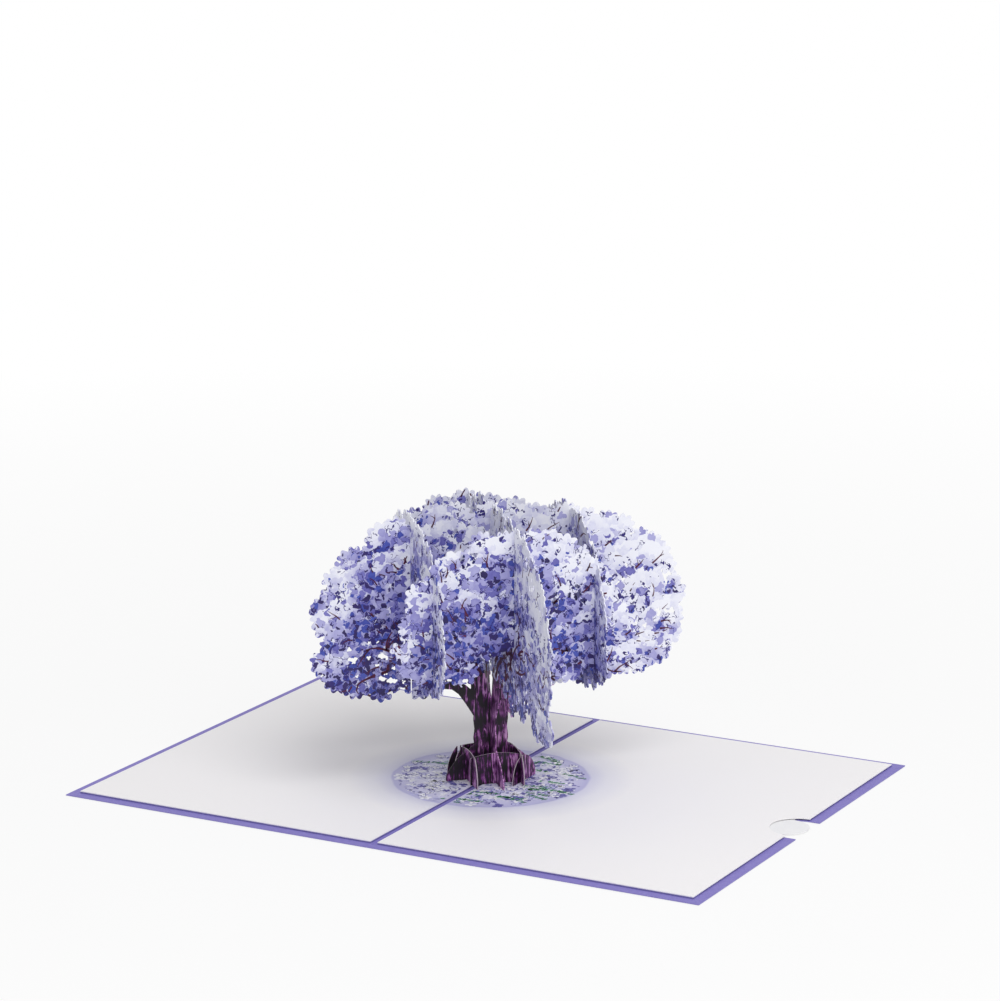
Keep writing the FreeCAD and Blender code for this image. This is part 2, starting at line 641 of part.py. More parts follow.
# Anchor lobes: each stands on a panel, parallel to the fold, is slotted over a root slice and
# ends in a tab that goes through the lining sheet and is glued flat under it
def anchor_lobe(label, side):
    front, back, top = get("anchor_front"), get("anchor_back"), get("anchor_top")
    base = get("lattice_clearance")
    swell = get("anchor_swell")
    shoulder = (get("anchor_shoulder_inset") - front, get("anchor_shoulder_height"))
    slope = (back - get("anchor_slope_inset"), get("anchor_slope_height"))
    crest = ((slope[0] + shoulder[0]) / 2 - swell, top)
    edges = [line((-front, base), (back, base)),
             arc((back, base), (back - swell, slope[1] / 2), slope),
             arc(slope, crest, shoulder),
             arc(shoulder, (swell - front, shoulder[1] * 0.6), (-front, base))]
    wall = profile(label + "_wall", Part.Face(Part.Wire(edges)))
    under_sheet = "-{sheet_thickness} - {lattice_clearance} - {slice_thickness}"
    tab = doc.addObject("Part::Box", label + "_tab")
    bound(tab, "Length", "{anchor_tab_length}")
    bound(tab, "Width", "{slice_thickness}")
    bound(tab, "Height", "{sheet_thickness} + {lattice_clearance} * 3 + {slice_thickness}")
    bound(tab, "Placement.Base.x", "{anchor_tab_front}")
    bound(tab, "Placement.Base.y", "-{slice_thickness} / 2")
    bound(tab, "Placement.Base.z", under_sheet)
    # The flap is folded away from the fold of the card, and lies against the lining sheet
    flap = doc.addObject("Part::Box", label + "_flap")
    bound(flap, "Length", "{anchor_tab_length}")
    bound(flap, "Width", "{anchor_flap}")
    bound(flap, "Height", "{slice_thickness}")
    bound(flap, "Placement.Base.x", "{anchor_tab_front}")
    near_face = "-{slice_thickness} / 2" if side < 0 else "{slice_thickness} / 2 - {anchor_flap}"
    bound(flap, "Placement.Base.y", near_face)
    bound(flap, "Placement.Base.z", under_sheet)
    whole = doc.addObject("Part::MultiFuse", label + "_whole")
    whole.Shapes = [wall, tab, flap]
    whole.Refine = True
    if side > 0:
        crossing = "({root_pitch_along} * 2 * cos({slice_angle}) - {anchor_offset})"
    else:
        crossing = "({root_pitch_across} * 2 * cos({slice_angle}) - {anchor_offset})"
    cutter = slot(label + "_slot", crossing, "{root_slot_level}", "{root_slot_level} + 0.5", LOBE_SLOT)
    piece = doc.addObject("Part::Cut", label)
    piece.Base = whole
    piece.Tool = cutter
    piece.Label = label
    piece.Placement = FreeCAD.Placement(FreeCAD.Vector(0, 0, 0), FreeCAD.Rotation(Z_AXIS, 90))
    bound(piece, "Placement.Base.x", "%d * {anchor_offset}" % side)
    bound(piece, "Placement.Base.z", SURFACE)
    return piece


anchor_lobe("anchor_lobe_left", -1)
anchor_lobe("anchor_lobe_right", 1)
doc.recompute()

# Check every object, then write one file for each piece
for thing in doc.Objects:
    if "Invalid" in thing.State or "Error" in thing.State:
        raise RuntimeError("%s did not build: %s" % (thing.Name, thing.State))

PIECES = ["cover", "left_lining_sheet", "right_lining_sheet", "tape_left_front", "tape_left_back",
          "tape_left_fold", "tape_left_edge", "tape_right_front", "tape_right_back", "tape_right_fold",
          "pull_out_note", "main_slice_across", "main_slice_along", "crown_slice_front",
          "crown_slice_back", "crown_slice_left", "crown_slice_right", "root_slice_front",
          "root_slice_back", "root_slice_left", "root_slice_right", "anchor_lobe_left",
          "anchor_lobe_right"]
os.makedirs("parts", exist_ok=True)
for label in PIECES:
    piece = doc.getObjectsByLabel(label)[0]
    shape = piece.Shape
    if shape.isNull() or not shape.isValid() or not shape.Solids:
        raise RuntimeError("%s has no valid solid" % label)
    print(label, len(shape.Solids), "solid,", round(shape.Volume, 1), "mm3,", len(shape.Faces), "faces")
    shape.exportStep("parts/%s.step" % label)
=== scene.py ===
import math
import random

import bmesh
import bpy
import numpy as np
from mathutils import Euler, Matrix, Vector


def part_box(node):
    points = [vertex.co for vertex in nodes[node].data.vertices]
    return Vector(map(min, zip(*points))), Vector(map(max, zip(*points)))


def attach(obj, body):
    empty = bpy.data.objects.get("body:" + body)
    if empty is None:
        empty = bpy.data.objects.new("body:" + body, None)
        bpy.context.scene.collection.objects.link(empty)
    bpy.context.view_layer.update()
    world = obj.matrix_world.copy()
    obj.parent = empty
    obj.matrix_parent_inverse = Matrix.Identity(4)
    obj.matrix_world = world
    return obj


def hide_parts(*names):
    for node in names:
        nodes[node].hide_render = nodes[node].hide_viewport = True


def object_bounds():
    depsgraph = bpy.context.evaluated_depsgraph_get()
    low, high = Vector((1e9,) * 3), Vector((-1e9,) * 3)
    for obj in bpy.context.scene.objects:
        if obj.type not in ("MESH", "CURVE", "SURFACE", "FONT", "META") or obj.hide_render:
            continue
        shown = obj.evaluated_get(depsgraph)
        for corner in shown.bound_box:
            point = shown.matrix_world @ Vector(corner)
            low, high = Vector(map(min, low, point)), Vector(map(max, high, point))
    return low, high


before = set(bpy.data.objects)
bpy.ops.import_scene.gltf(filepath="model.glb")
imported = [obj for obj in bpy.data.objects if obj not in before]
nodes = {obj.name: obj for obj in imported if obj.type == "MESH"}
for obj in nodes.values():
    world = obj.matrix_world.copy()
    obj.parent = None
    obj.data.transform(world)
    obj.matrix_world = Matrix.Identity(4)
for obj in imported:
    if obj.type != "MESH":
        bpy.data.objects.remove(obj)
cad_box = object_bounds()
scene = bpy.context.scene
scene.view_settings.view_transform = "Standard"


# View, table and light. The open card lies on a plain white table and is seen from the front
# right, a little from above. One large soft lamp stands to the right, and the room fills in.
def srgb(code):
    """Linear colour from an sRGB hex code."""
    parts = [int(code[i:i + 2], 16) / 255 for i in (1, 3, 5)]
    return [p / 12.92 if p <= 0.04045 else ((p + 0.055) / 1.055) ** 2.4 for p in parts] + [1.0]


def add(tree, kind, settings=None, *values, **named):
    """Add a node with its settings. Its inputs come in order or by name, and each is a value, a
    socket, or a node whose first output is linked."""
    node = tree.nodes.new("ShaderNode" + kind)
    for name, value in (settings or {}).items():
        setattr(node, name, value)
    sockets = [socket for socket in node.inputs if socket.enabled]
    pairs = list(zip(sockets, values))
    for name, value in named.items():
        pairs.append((next(s for s in sockets if s.name == name.replace("_", " ")), value))
    for socket, value in pairs:
        if isinstance(value, bpy.types.Node):
            value = next(s for s in value.outputs if s.enabled)
        if isinstance(value, bpy.types.NodeSocket):
            tree.links.new(value, socket)
        elif value is not None:
            socket.default_value = value
    return node


def looked_at(tree):
    """1 for what the camera sees, also by way of gloss or a clear thing, and 0 for lighting."""
    path = add(tree, "LightPath")
    seen = add(tree, "Math", {"operation": "MAXIMUM"}, path.outputs["Is Camera Ray"],
               path.outputs["Is Glossy Ray"])
    return add(tree, "Math", {"operation": "MAXIMUM"}, seen, path.outputs["Is Transmission Ray"])


camera_data = bpy.data.cameras.new("camera")
camera_data.sensor_width = 36
camera_data.lens = 138.313
camera = bpy.data.objects.new("camera", camera_data)
camera.location = (0.645634, -1.187629, 0.422190)
camera.rotation_euler = Euler((math.radians(76.822), 0, math.radians(28.385)))
scene.collection.objects.link(camera)
scene.camera = camera

# Seamless white laminate: it looks evenly white to the camera and still takes the card's shadow
laminate = bpy.data.materials.new("white_laminate")
laminate.use_nodes = True
tree = laminate.node_tree
tree.nodes.clear()
away = add(tree, "VectorMath", {"operation": "LENGTH"}, add(tree, "NewGeometry").outputs["Position"])
away = add(tree, "MapRange", None, away.outputs["Value"], 0.2, 0.8, 0.78, 1.0)
share = add(tree, "Math", {"operation": "MULTIPLY"}, looked_at(tree), away)
lit = add(tree, "BsdfDiffuse", None, srgb("#F4F4F4"))
glow = add(tree, "Emission", None, srgb("#FFFFFF"), 1.0)
add(tree, "OutputMaterial", None, add(tree, "MixShader", None, share, lit, glow))

TABLE_HALF = 6.0
TABLE_GAP = 0.0002
table_mesh = bpy.data.meshes.new("table")
corners = [(x * TABLE_HALF, y * TABLE_HALF, 0) for x, y in ((-1, -1), (1, -1), (1, 1), (-1, 1))]
table_mesh.from_pydata(corners, [], [(0, 1, 2, 3)])
table_mesh.materials.append(laminate)
table = bpy.data.objects.new("table", table_mesh)
table.location.z = cad_box[0][2] - TABLE_GAP
scene.collection.objects.link(table)

world = bpy.data.worlds.new("studio")
scene.world = world
world.use_nodes = True
tree = world.node_tree
tree.nodes.clear()
ROOM_LIGHT = 0.53
strength = add(tree, "MapRange", None, looked_at(tree), 0.0, 1.0, ROOM_LIGHT, 1.0)
add(tree, "OutputWorld", None, add(tree, "Background", None, srgb("#FFFFFF"), strength))

lamp_data = bpy.data.lights.new("soft_lamp", "AREA")
lamp_data.size = 1.5
lamp_data.energy = 21.5
lamp = bpy.data.objects.new("soft_lamp", lamp_data)
lamp.location = (1.0, -0.72, 1.5)
lamp.rotation_euler = (Vector((0, 0, 0.04)) - lamp.location).to_track_quat("-Z", "Y").to_euler()
scene.collection.objects.link(lamp)

# Cover: one sheet of violet card, cut and scored on a press and folded once. The window in its
# front half is a die-cut trellis, and a narrow line of gold foil is pressed in round it.
MM = 0.001


def new_material(name, roughness, ior):
    """Empty material with its shader, and the place on the card in millimetres."""
    material = bpy.data.materials.new(name)
    material.use_nodes = True
    tree = material.node_tree
    tree.nodes.clear()
    shader = add(tree, "BsdfPrincipled", None, Roughness=roughness, IOR=ior)
    add(tree, "OutputMaterial", None, shader)
    where = add(tree, "TexCoord").outputs["Object"]
    place = add(tree, "VectorMath", {"operation": "SCALE"}, where, Scale=1 / MM)
    return material, tree, shader, place


def paper_grain(tree, shader, place, spacing, depth):
    """Fibres as a fine bump, both sizes in millimetres, drawn coarser than real so they show."""
    fibre = add(tree, "TexNoise", None, place, 1 / spacing, 3.0, 0.6)
    bump = add(tree, "Bump", None, 0.4, depth * MM, Height=fibre.outputs[0])
    tree.links.new(bump.outputs[0], shader.inputs["Normal"])


def dress(name, material):
    """Give a carried-over node its one material."""
    nodes[name].data.materials.clear()
    nodes[name].data.materials.append(material)


# Dyed card is matt, and faintly mottled where the fibres took the dye unevenly
dyed_card, tree, shader, place = new_material("dyed_violet_card", 0.72, 1.45)
mottle = add(tree, "TexNoise", None, place, 1 / 2.5, 4.0, 0.7)
violet = add(tree, "Mix", {"data_type": "RGBA"}, mottle, srgb("#7A70BA"), srgb("#948BCE"))
FRONT_WIDTH = -cad_box[0][0] / MM
FOIL_INSET = 4.0
FOIL_HALF = 0.6
parts = add(tree, "SeparateXYZ", None, place)
centred = add(tree, "Math", {"operation": "ADD"}, parts.outputs[0], FRONT_WIDTH / 2)
centred = add(tree, "Math", {"operation": "ABSOLUTE"}, centred)
past_x = add(tree, "Math", {"operation": "SUBTRACT"}, centred, FRONT_WIDTH / 2 - FOIL_INSET)
height = add(tree, "Math", {"operation": "ABSOLUTE"}, parts.outputs[1])
past_y = add(tree, "Math", {"operation": "SUBTRACT"}, height, cad_box[1][1] / MM - FOIL_INSET)
past = add(tree, "Math", {"operation": "MAXIMUM"}, past_x, past_y)
on_line = add(tree, "Math", {"operation": "COMPARE"}, past, 0.0, FOIL_HALF)
normal = add(tree, "SeparateXYZ", None, add(tree, "NewGeometry").outputs["True Normal"])
outside = add(tree, "Math", {"operation": "LESS_THAN"}, normal.outputs[2], -0.5)
foil = add(tree, "Math", {"operation": "MULTIPLY"}, on_line, outside)
colour = add(tree, "Mix", {"data_type": "RGBA"}, foil, violet, srgb("#C99A3C"))
tree.links.new(colour.outputs[2], shader.inputs["Base Color"])
tree.links.new(foil.outputs[0], shader.inputs["Metallic"])
sheen = add(tree, "MapRange", None, foil, 0.0, 1.0, 0.72, 0.28)
tree.links.new(sheen.outputs[0], shader.inputs["Roughness"])
paper_grain(tree, shader, place, 0.5, 0.03)
dress("cover", dyed_card)

# Tape strips: double-sided foam tape between cover and lining sheets, cut from a roll. It stays
# hidden but for its thin edges, which close the card on all sides except at the note's pocket.

# Foam tape dyed violet and dull. It is darker than the cover as painted shade for the shadow line
# under the lining sheets' edges, and a fine noise mottles it
foam_tape, tree, shader, place = new_material("violet_foam_tape", 0.8, 1.45)
cells = add(tree, "TexNoise", None, place, 1 / 0.8, 2.0)
foam = add(tree, "Mix", {"data_type": "RGBA"}, cells, srgb("#5F5994"), srgb("#827BB8"))
tree.links.new(foam.outputs[2], shader.inputs["Base Color"])
for name in nodes:
    if name.startswith("tape_"):
        dress(name, foam_tape)

# Lining sheets: smooth white card on each half of the cover, glued down on the tape. Round the
# tree's foot they are printed with a pool of lavender wash, fallen blossom and blades of grass.
WASH_RADIUS = 36.5
SHEET_LOW, SHEET_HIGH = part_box("right_lining_sheet")
SHEET_TOP = SHEET_HIGH[2] / MM
SHEET_EDGE = SHEET_LOW[0] / MM

# Smooth card is white and nearly matt; the wash on its upper face pools darker towards its rim
lining_card, tree, shader, place = new_material("printed_lining_card", 0.6, 1.45)
flat = add(tree, "VectorMath", {"operation": "MULTIPLY"}, place, (1, 1, 0))
far = add(tree, "VectorMath", {"operation": "LENGTH"}, flat).outputs["Value"]
ripple = add(tree, "TexNoise", None, place, 1 / 12.0, 2.0)
far = add(tree, "Math", {"operation": "MULTIPLY_ADD"}, ripple, 2.4, far)
far = add(tree, "Math", {"operation": "DIVIDE"}, far, 2 * WASH_RADIUS)
pool = add(tree, "ValToRGB", None, far)
pool.color_ramp.elements[0].color = srgb("#DEDEF4")
pool.color_ramp.elements[1].position = 0.74
pool.color_ramp.elements[1].color = srgb("#F8F6F7")
for at, code in ((0.34, "#D9D8F0"), (0.45, "#C9C7E7"), (0.508, "#B9B7DE"), (0.52, "#DAD9EC"),
                 (0.6, "#ECEBF3")):
    pool.color_ramp.elements.new(at).color = srgb(code)
blot = add(tree, "TexNoise", None, place, 1 / 3.5, 4.0, 0.65)
blot = add(tree, "MapRange", None, blot, 0.4, 0.7, 0.0, 0.7)
within = add(tree, "Math", {"operation": "LESS_THAN"}, far, 0.43)
lighter = add(tree, "Math", {"operation": "MULTIPLY"}, blot, within)
wash = add(tree, "Mix", {"data_type": "RGBA"}, lighter, pool, srgb("#E6E5F5"))
normal = add(tree, "SeparateXYZ", None, add(tree, "NewGeometry").outputs["True Normal"])
upper = add(tree, "Math", {"operation": "GREATER_THAN"}, normal.outputs[2], 0.5)
colour = add(tree, "Mix", {"data_type": "RGBA"}, upper, srgb("#F8F6F7"), wash)
tree.links.new(colour.outputs[2], shader.inputs["Base Color"])
paper_grain(tree, shader, place, 0.4, 0.015)
dress("left_lining_sheet", lining_card)
dress("right_lining_sheet", lining_card)

INK_GAP = 0.02


def printing_ink(name, pale, deep, spot):
    """Water-based ink: matt, and dried unevenly from a pale to a deeper tone in small spots."""
    material, tree, shader, place = new_material(name, 0.62, 1.45)
    drying = add(tree, "TexNoise", None, place, 1 / spot, 3.0, 0.6)
    drying = add(tree, "MapRange", None, drying, 0.35, 0.65)
    colour = add(tree, "Mix", {"data_type": "RGBA"}, drying, srgb(pale), srgb(deep))
    tree.links.new(colour.outputs[2], shader.inputs["Base Color"])
    return material


def printed_shapes(name, shapes, inks):
    """One mesh of flat printed shapes, each a ring of points and the number of its ink."""
    points = []
    faces = []
    for ring, ink in shapes:
        faces.append(tuple(range(len(points), len(points) + len(ring))))
        points.extend(Vector(p) * MM for p in ring)
    mesh = bpy.data.meshes.new(name)
    mesh.from_pydata(points, [], faces)
    mesh.polygons.foreach_set("material_index", [ink for ring, ink in shapes])
    for ink in inks:
        mesh.materials.append(ink)
    piece = bpy.data.objects.new(name, mesh)
    scene.collection.objects.link(piece)
    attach(piece, "card")


def petal(x, y, z, length, width, turn, corners=8):
    """Rounded petal lying flat, blunt at its outer end."""
    ring = []
    for i in range(corners):
        angle = 2 * math.pi * i / corners
        u = math.cos(angle) * length / 2
        v = math.sin(angle) * width / 2 * (1 + 0.3 * math.cos(angle))
        ring.append((x + u * math.cos(turn) - v * math.sin(turn),
                     y + u * math.sin(turn) + v * math.cos(turn), z))
    return ring


FLORETS = 330
LOOSE_PETALS = 420
GRASS_SPRAYS = 26
BLADES = 16
chance = random.Random(11)
ground = []
WHITE_INK, LAVENDER_INK, VIOLET_INK, GRASS_INK = range(4)


def print_on_sheets(ring, ink):
    """Keep a shape only where it lies wholly on one lining sheet, clear of the fold."""
    clear = min(abs(x) for x, y, z in ring) > SHEET_EDGE + 0.2
    if clear and len({x > 0 for x, y, z in ring}) == 1:
        ground.append((ring, ink))


for i in range(FLORETS):
    out = WASH_RADIUS * 0.93 * math.sqrt(chance.uniform(0.08, 1.0))
    angle = chance.uniform(0, 2 * math.pi)
    x, y = out * math.cos(angle), out * math.sin(angle)
    size = chance.uniform(1.2, 2.6)
    count = chance.choice((3, 4, 5))
    start = chance.uniform(0, 6)
    ink = chance.choice((WHITE_INK, WHITE_INK, WHITE_INK, LAVENDER_INK, VIOLET_INK))
    level = SHEET_TOP + INK_GAP * (1 + i % 5)
    for k in range(count):
        turn = start + k * 2 * math.pi / 5
        px, py = x + size * 0.5 * math.cos(turn), y + size * 0.5 * math.sin(turn)
        if i % 2:
            print_on_sheets(petal(px, py, level, size * 1.25, size * 0.85, turn), VIOLET_INK)
        print_on_sheets(petal(px, py, level + INK_GAP / 3, size, size * 0.62, turn), ink)
for i in range(LOOSE_PETALS):
    out = WASH_RADIUS * 0.95 * math.sqrt(chance.uniform(0.05, 1.0))
    angle = chance.uniform(0, 2 * math.pi)
    length = chance.uniform(0.8, 2.0)
    level = SHEET_TOP + INK_GAP * 6
    ring = petal(out * math.cos(angle), out * math.sin(angle), level, length, length * 0.5,
                 chance.uniform(0, 3.1))
    print_on_sheets(ring, chance.choice((VIOLET_INK, VIOLET_INK, LAVENDER_INK, WHITE_INK)))
for i in range(GRASS_SPRAYS):
    out = WASH_RADIUS * chance.uniform(0.5, 0.9)
    angle = chance.uniform(0, 2 * math.pi)
    lean = chance.uniform(-0.3, 0.3)
    for k in range(BLADES):
        along = chance.uniform(-5, 5)
        x = out * math.cos(angle) + along * math.cos(lean)
        y = out * math.sin(angle) + along * math.sin(lean) + chance.uniform(-0.7, 0.7)
        blade = petal(x, y, SHEET_TOP + INK_GAP * 7, chance.uniform(1.2, 2.6), 0.5,
                      lean + chance.uniform(0.4, 1.5), 6)
        print_on_sheets(blade, GRASS_INK)
ground_inks = [printing_ink("white_blossom_ink", "#FAFAFF", "#EAEAF8", 1.5),
               printing_ink("lavender_blossom_ink", "#D3D3F2", "#B2B1E2", 1.5),
               printing_ink("violet_shadow_ink", "#827EC0", "#4A4496", 1.2),
               printing_ink("grass_ink", "#63A57E", "#2E8A56", 1.5)]
printed_shapes("ground_print", ground, ground_inks)

# Pull-out note: thin white writing paper folded double, slid loose into the right-hand pocket.
# Its round tab shows in the thumb notch and is pulled with a fingertip.

# Writing paper is soft white, matt and faintly cloudy against the light
writing_paper, tree, shader, place = new_material("writing_paper", 0.6, 1.45)
cloud = add(tree, "TexNoise", None, place, 1 / 6.0, 3.0)
white = add(tree, "Mix", {"data_type": "RGBA"}, cloud, srgb("#ECECEE"), srgb("#F8F8F9"))
tree.links.new(white.outputs[2], shader.inputs["Base Color"])
paper_grain(tree, shader, place, 0.35, 0.01)
dress("pull_out_note", writing_paper)

# Tree slices: printed card, cut out by laser along the blossom's edge with small gaps between the
# leaves. Two full-height slices carry trunk and crown, four shorter ones fill the crown out, and
# all hold each other by half-lap slots.
CARD = 0.35
SLOT_HALF = 0.225
CROWN_PITCH = 30.0
CROWN_SLOT_LEVEL = 67.0
CENTRE_SLOT_LEVEL = 54.0
ROOT_SLOT_LEVEL = 5.5
CROWN_MIDDLE = 58.0
LOBE = 2.1
CELL = 0.4
RIM_POINTS = 720


class Slice:
    """Where a slice stands, read from its solid: lengths along it (s) run to the right, and z
    starts at the lining sheets."""

    def __init__(self, node, family):
        low, high = (Vector(corner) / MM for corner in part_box(node))
        self.node = node
        self.family = family
        self.along = Vector((1, family, 0)).normalized()
        self.normal = Vector((1, -family, 0)).normalized()
        self.offset = ((low + high) / 2).dot(self.normal)
        self.left = low.x * math.sqrt(2) - self.offset + CARD / 2
        self.right = high.x * math.sqrt(2) - self.offset - CARD / 2
        self.top = high.z - SHEET_TOP
        self.bottom = low.z - SHEET_TOP

    def point(self, s, z, out):
        """Place on the slice, out from its middle plane."""
        return self.along * s + self.normal * (self.offset + out) + Vector((0, 0, SHEET_TOP + z))


def crown_rim(left, right, top, bottom, arch_half, rise, squareness):
    """Smooth outline of the crown, going round against the clock, with an arch over the fork."""
    turns = np.linspace(0, 2 * math.pi, RIM_POINTS + 1)
    across, up = np.cos(turns), np.sin(turns)
    power = np.where(up >= 0, 2 / squareness, 0.5)
    s = np.where(across > 0, right, -left) * np.sign(across) * np.abs(across) ** power
    drop = np.where(up >= 0, top - CROWN_MIDDLE, CROWN_MIDDLE - bottom)
    z = CROWN_MIDDLE + drop * np.sign(up) * np.abs(up) ** power
    z = np.where((up < 0) & (np.abs(s) < arch_half), z + rise * (1 - (s / arch_half) ** 2), z)
    run = np.concatenate(([0], np.cumsum(np.hypot(np.diff(s), np.diff(z)))))
    even = np.linspace(0, run[-1], RIM_POINTS, endpoint=False)
    return np.interp(even, run, s), np.interp(even, run, z), float(run[-1])


def rosette(s, z, at_s, at_z, size, petals, depth, turn):
    """How far a place lies inside a round bunch whose edge is a row of petals."""
    angle = np.arctan2(z - at_z, s - at_s)
    bulge = np.abs(np.cos(petals * angle / 2 + turn)) - 0.75
    return size + depth * bulge - np.hypot(s - at_s, z - at_z)


# Spacing, smallest and largest size, and least and most reach past the rim, in millimetres
ROUND_BUNCHES = ((11.4, 4.6, 7.2, -1.6, 1.4), (4.6, 1.8, 3.4, -5.2, 0.2))
RAGGED_BUNCHES = ((9.6, 3.6, 6.2, -1.8, 1.5), (4.2, 1.6, 3.0, -5.0, 0.9))
# The rim points along the crown's underside, where every third group of gaps lies
LOW_RIM = (370, 710)


def foliage(s, z, rim, luck, gaps, valley, bunches):
    """How far a place lies inside the crown: large bunches and small ones round the rim, with
    valleys between them, and gaps in groups further in."""
    rim_s, rim_z, length = rim
    run_s, run_z = np.roll(rim_s, -1) - np.roll(rim_s, 1), np.roll(rim_z, -1) - np.roll(rim_z, 1)
    out_s, out_z = run_z / np.hypot(run_s, run_z), -run_s / np.hypot(run_s, run_z)
    angle = np.arctan2(z - CROWN_MIDDLE, s)
    rim_angle = np.arctan2(rim_z - CROWN_MIDDLE, rim_s)
    reach = np.hypot(rim_s, rim_z - CROWN_MIDDLE)
    slant = (out_s * rim_s + out_z * (rim_z - CROWN_MIDDLE)) / reach
    order = np.argsort(rim_angle)
    reach, slant = (np.interp(angle, rim_angle[order], side[order], period=2 * math.pi)
                    for side in (reach, slant))
    field = (reach - np.hypot(s, z - CROWN_MIDDLE)) * np.clip(slant, 0.3, 1) - valley
    for spacing, small, large, least, most in bunches:
        count = round(length / spacing)
        for i in range(count):
            at = int(RIM_POINTS * (i + luck.uniform(-0.35, 0.35)) / count) % RIM_POINTS
            size = luck.uniform(small, large)
            inward = size - luck.uniform(least, most)
            petals = max(4, round(size * luck.uniform(1.5, 2.4)))
            bunch = rosette(s, z, rim_s[at] - out_s[at] * inward, rim_z[at] - out_z[at] * inward,
                            size, petals, 1.5, luck.uniform(0, 6.3))
            field = np.maximum(field, bunch)
    for i in range(gaps):
        at = luck.randrange(RIM_POINTS) if i % 3 else luck.randrange(*LOW_RIM)
        share = luck.uniform(0.4, 0.93)
        for k in range(luck.choice((1, 2, 4))):
            gap_s = rim_s[at] * share + luck.uniform(-3.2, 3.2)
            gap_z = CROWN_MIDDLE + (rim_z[at] - CROWN_MIDDLE) * share + luck.uniform(-3.2, 3.2)
            gap = rosette(s, z, gap_s, gap_z, luck.uniform(0.5, 1.2), luck.choice((2, 3)), 0.7,
                          luck.uniform(0, 6.3))
            if min(abs(gap_s - place) for place in (-CROWN_PITCH, 0.0, CROWN_PITCH)) > 1.8:
                field = np.minimum(field, -gap)
    return field


def limb(s, z, path, halves):
    """How far a place lies inside a tapering limb along a path."""
    field = np.full_like(s, -99.0)
    for (s0, z0), (s1, z1), r0, r1 in zip(path, path[1:], halves, halves[1:]):
        run, rise = s1 - s0, z1 - z0
        share = np.clip(((s - s0) * run + (z - z0) * rise) / (run * run + rise * rise), 0, 1)
        away = np.hypot(s - s0 - share * run, z - z0 - share * rise)
        field = np.maximum(field, r0 + (r1 - r0) * share - away)
    return field


TRUNK_HALF = 6.4
FLARE_REACH = 17.0
FLARE_HEIGHT = 13.5
FORK = 27.0
LEFT_LIMB = (((-1.5, 23), (-4.2, 33), (-5.6, 45)), (4.9, 3.2, 2.2))
RIGHT_LIMB = (((3.0, 23), (4.7, 33), (6.2, 45)), (3.5, 2.8, 2.0))
LOW_LIMB = ((2.6, 25), (7.4, 30.6), (10.8, 34.4), (14.2, 36.3), (19.0, 36.6))
LOW_LIMB_HALVES = (3.8, 2.7, 2.1, 1.6, 1.2)


def trunk(s, z):
    """How far a place lies inside the trunk: flared at the ground, with four limbs at its fork."""
    low = np.clip(z / FLARE_HEIGHT, 0, 1)
    half = TRUNK_HALF + (FLARE_REACH - TRUNK_HALF) * (1 - low ** 2.2) ** 1.3 + 0.2 * np.sin(z * 0.9)
    field = np.minimum(np.minimum(half - np.abs(s), z - 0.05), FORK - z)
    low_limbs = [([(way * out, up) for out, up in LOW_LIMB], LOW_LIMB_HALVES) for way in (-1, 1)]
    for path, halves in [LEFT_LIMB, RIGHT_LIMB] + low_limbs:
        field = np.maximum(field, limb(s, z, path, halves))
    return field


def trace(field, s_line, z_line):
    """Closed outlines along which the field is zero, found cell by cell."""
    inside = field > 0
    joins = {}
    mixed = inside[:-1, :-1].astype(int) + inside[:-1, 1:] + inside[1:, :-1] + inside[1:, 1:]
    for row, column in zip(*np.nonzero(mixed % 4)):
        ring = [(row, column), (row, column + 1), (row + 1, column + 1), (row + 1, column)]
        sides = zip(ring, ring[1:] + ring[:1])
        cuts = [tuple(sorted((p, q))) for p, q in sides if inside[p] != inside[q]]
        if len(cuts) == 4 and not inside[ring[0]]:
            cuts = cuts[1:] + cuts[:1]
        for one, two in zip(cuts[::2], cuts[1::2]):
            joins.setdefault(one, []).append(two)
            joins.setdefault(two, []).append(one)
    loops = []
    while joins:
        here = min(joins)
        loop = []
        while here in joins:
            (row, column), (other_row, other_column) = here
            share = field[row, column] / (field[row, column] - field[other_row, other_column])
            loop.append((s_line[column] + share * (s_line[other_column] - s_line[column]),
                         z_line[row] + share * (z_line[other_row] - z_line[row])))
            here = next((way for way in joins.pop(here) if way in joins), None)
        loops.append(loop)
    return loops


def without_straights(loop):
    """Leave out points in line with their neighbours, within a fortieth of a millimetre."""
    kept = loop[:1]
    for here, after in zip(loop[1:], loop[2:] + loop[:1]):
        run, rise = after[0] - kept[-1][0], after[1] - kept[-1][1]
        off = abs(run * (here[1] - kept[-1][1]) - rise * (here[0] - kept[-1][0]))
        if off > 0.025 * math.hypot(run, rise) or math.dist(here, kept[-1]) > 2.0:
            kept.append(here)
    return kept


def ring_area(loop):
    """Area inside an outline."""
    return abs(sum(p[0] * q[1] - q[0] * p[1] for p, q in zip(loop, loop[1:] + loop[:1]))) / 2


def encloses(loop, spot):
    """Whether a place lies inside an outline."""
    odd = False
    for (s0, z0), (s1, z1) in zip(loop, loop[1:] + loop[:1]):
        if (z0 > spot[1]) != (z1 > spot[1]):
            odd ^= spot[0] < s0 + (spot[1] - z0) * (s1 - s0) / (z1 - z0)
    return odd


